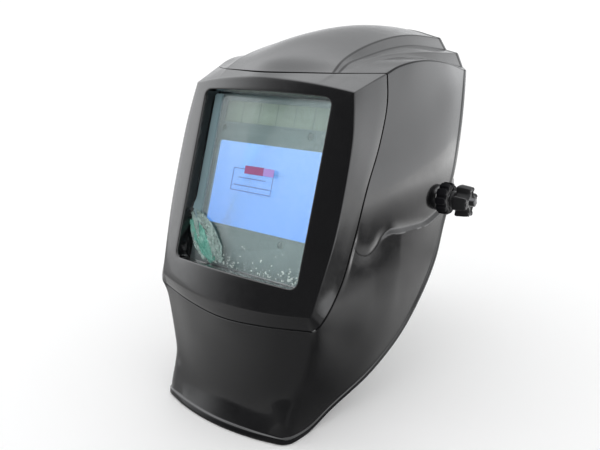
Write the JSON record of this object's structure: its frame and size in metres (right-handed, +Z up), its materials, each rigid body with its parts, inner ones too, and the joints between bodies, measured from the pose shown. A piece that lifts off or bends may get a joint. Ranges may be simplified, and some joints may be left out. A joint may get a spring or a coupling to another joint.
{
  "type": "welding helmet",
  "caption": "Auto-darkening welding helmet: glossy moulded shell with a large framed window, filter cartridge behind a cover lens, side knobs and ratchet headgear.",
  "frame": {"origin": "centre of the footprint of the bounding box, on the plane the chin rim stands on", "axes": "-Y is the way the wearer looks, +X is the wearer's left, +Z is up"},
  "size_m": [0.2508, 0.307, 0.2758],
  "materials": {
    "gloss_black": "high gloss moulded",
    "clear_lens": "clear polycarbonate",
    "clear_film": "crinkled protective film",
    "green_film": "crumpled adhesive film tab",
    "satin_black": "satin moulded",
    "cartridge_grey": "smooth moulded",
    "filter_glass": "blue reflective filter",
    "solar_strip": "coated cell",
    "sensor_black": "small domed windows",
    "circuit_green": "solder mask",
    "grey_plastic": "moulded",
    "button_red": "moulded",
    "steel": "zinc plated",
    "bolt_black": "black oxide",
    "headgear_black": "nylon strap",
    "knob_black": "satin moulded",
    "sweat_fabric": "padded knit over foam"
  },
  "bodies": {
    "shell_assembly": {"shell": "gloss_black", "front_frame": "gloss_black", "cover_lens": "clear_lens", "lens_film": "clear_film", "film_pull_tab": "green_film", "adf_front_housing": "cartridge_grey", "adf_rear_housing": "satin_black", "solar_cell": "solar_strip", "lcd_filter_glass": "filter_glass", "arc_sensor_1": "sensor_black", "arc_sensor_2": "sensor_black", "arc_sensor_3": "sensor_black", "arc_sensor_4": "sensor_black", "circuit_board": "circuit_green", "inner_cover_lens": "clear_lens", "battery_left": "steel", "battery_right": "steel", "adf_screw_1": "steel", "adf_screw_2": "steel", "adf_screw_3": "steel", "adf_screw_4": "steel", "retaining_frame": "satin_black"},
    "shade_knob": {"shade_knob": "grey_plastic"},
    "sensitivity_knob": {"sensitivity_knob": "grey_plastic"},
    "delay_knob": {"delay_knob": "grey_plastic"},
    "test_button": {"test_button": "button_red"},
    "battery_cap_left": {"battery_cap_left": "grey_plastic"},
    "battery_cap_right": {"battery_cap_right": "grey_plastic"},
    "retaining_latch_left": {"retaining_latch_left": "grey_plastic"},
    "retaining_latch_right": {"retaining_latch_right": "grey_plastic"},
    "pivot_carriage": {"pivot_bolt_left": "bolt_black", "pivot_bolt_right": "bolt_black", "spacer_washer_left": "grey_plastic", "spacer_washer_right": "grey_plastic", "stop_washer_left": "headgear_black", "stop_washer_right": "headgear_black", "outer_collar_left": "knob_black", "outer_collar_right": "knob_black"},
    "tension_knob_left": {"tension_knob_left": "knob_black"},
    "tension_knob_right": {"tension_knob_right": "knob_black"},
    "headband_assembly": {"headband": "headgear_black", "sweatband": "sweat_fabric", "crown_strap_left": "headgear_black", "crown_strap_right": "headgear_black", "crown_pin": "grey_plastic", "rear_strap_left": "headgear_black", "rear_strap_right": "headgear_black", "ratchet_base": "headgear_black", "ratchet_cover": "headgear_black", "ratchet_spring": "steel", "nape_pad": "sweat_fabric", "side_arm_left": "headgear_black", "side_arm_right": "headgear_black", "arm_rivet_left": "steel", "arm_rivet_right": "steel"},
    "rack_left": {"rack_left": "grey_plastic"},
    "rack_right": {"rack_right": "grey_plastic"},
    "ratchet_drive": {"ratchet_pinion": "grey_plastic", "ratchet_knob": "headgear_black"}
  },
  "joints": [
    {"name": "helmet_tilt", "type": "hinge", "parent": "shell_assembly", "child": "pivot_carriage", "pos_m": [0, -0.0105, 0.154], "axis": [1, 0, 0], "range_deg": [0, 50]},
    {"name": "fore_aft_adjust", "type": "slide", "parent": "pivot_carriage", "child": "headband_assembly", "axis": [0, 1, 0], "range_m": [0, 0.01]},
    {"name": "tension_left_turn", "type": "hinge", "parent": "pivot_carriage", "child": "tension_knob_left", "pos_m": [0, -0.0105, 0.154], "axis": [1, 0, 0], "range_deg": [0, 360]},
    {"name": "tension_right_turn", "type": "hinge", "parent": "pivot_carriage", "child": "tension_knob_right", "pos_m": [0, -0.0105, 0.154], "axis": [-1, 0, 0], "range_deg": [0, 360]},
    {"name": "ratchet_turn", "type": "hinge", "parent": "headband_assembly", "child": "ratchet_drive", "pos_m": [0, 0.1325, 0.115], "axis": [0, -1, 0], "range_deg": [0, 122]},
    {"name": "rack_left_draw", "type": "slide", "parent": "headband_assembly", "child": "rack_left", "axis": [-1, 0, 0], "range_m": [0, 0.015]},
    {"name": "rack_right_draw", "type": "slide", "parent": "headband_assembly", "child": "rack_right", "axis": [1, 0, 0], "range_m": [0, 0.015]},
    {"name": "shade_turn", "type": "hinge", "parent": "shell_assembly", "child": "shade_knob", "pos_m": [0, -0.0702, 0.20882], "axis": [0, 0.9516, -0.3074], "range_deg": [0, 270]},
    {"name": "sensitivity_turn", "type": "hinge", "parent": "shell_assembly", "child": "sensitivity_knob", "pos_m": [0.031, -0.0702, 0.20882], "axis": [0, 0.9516, -0.3074], "range_deg": [0, 270]},
    {"name": "delay_turn", "type": "hinge", "parent": "shell_assembly", "child": "delay_knob", "pos_m": [-0.031, -0.0702, 0.20882], "axis": [0, 0.9516, -0.3074], "range_deg": [0, 270]},
    {"name": "test_button_press", "type": "slide", "parent": "shell_assembly", "child": "test_button", "axis": [0, -0.9516, 0.3074], "range_m": [0, 0.0008]},
    {"name": "battery_cap_left_turn", "type": "hinge", "parent": "shell_assembly", "child": "battery_cap_left", "pos_m": [0.036, -0.10093, 0.11366], "axis": [0, 0.9516, -0.3074], "range_deg": [0, 45]},
    {"name": "battery_cap_right_turn", "type": "hinge", "parent": "shell_assembly", "child": "battery_cap_right", "pos_m": [-0.036, -0.10093, 0.11366], "axis": [0, 0.9516, -0.3074], "range_deg": [0, 45]},
    {"name": "latch_left_slide", "type": "slide", "parent": "shell_assembly", "child": "retaining_latch_left", "axis": [-1, 0, 0], "range_m": [0, 0.004]},
    {"name": "latch_right_slide", "type": "slide", "parent": "shell_assembly", "child": "retaining_latch_right", "axis": [1, 0, 0], "range_m": [0, 0.004]}
  ],
  "couplings": [
    {"joint": "rack_left_draw", "follows": "ratchet_turn", "m_per_rad": 0.007},
    {"joint": "rack_right_draw", "follows": "ratchet_turn", "m_per_rad": 0.007}
  ]
}
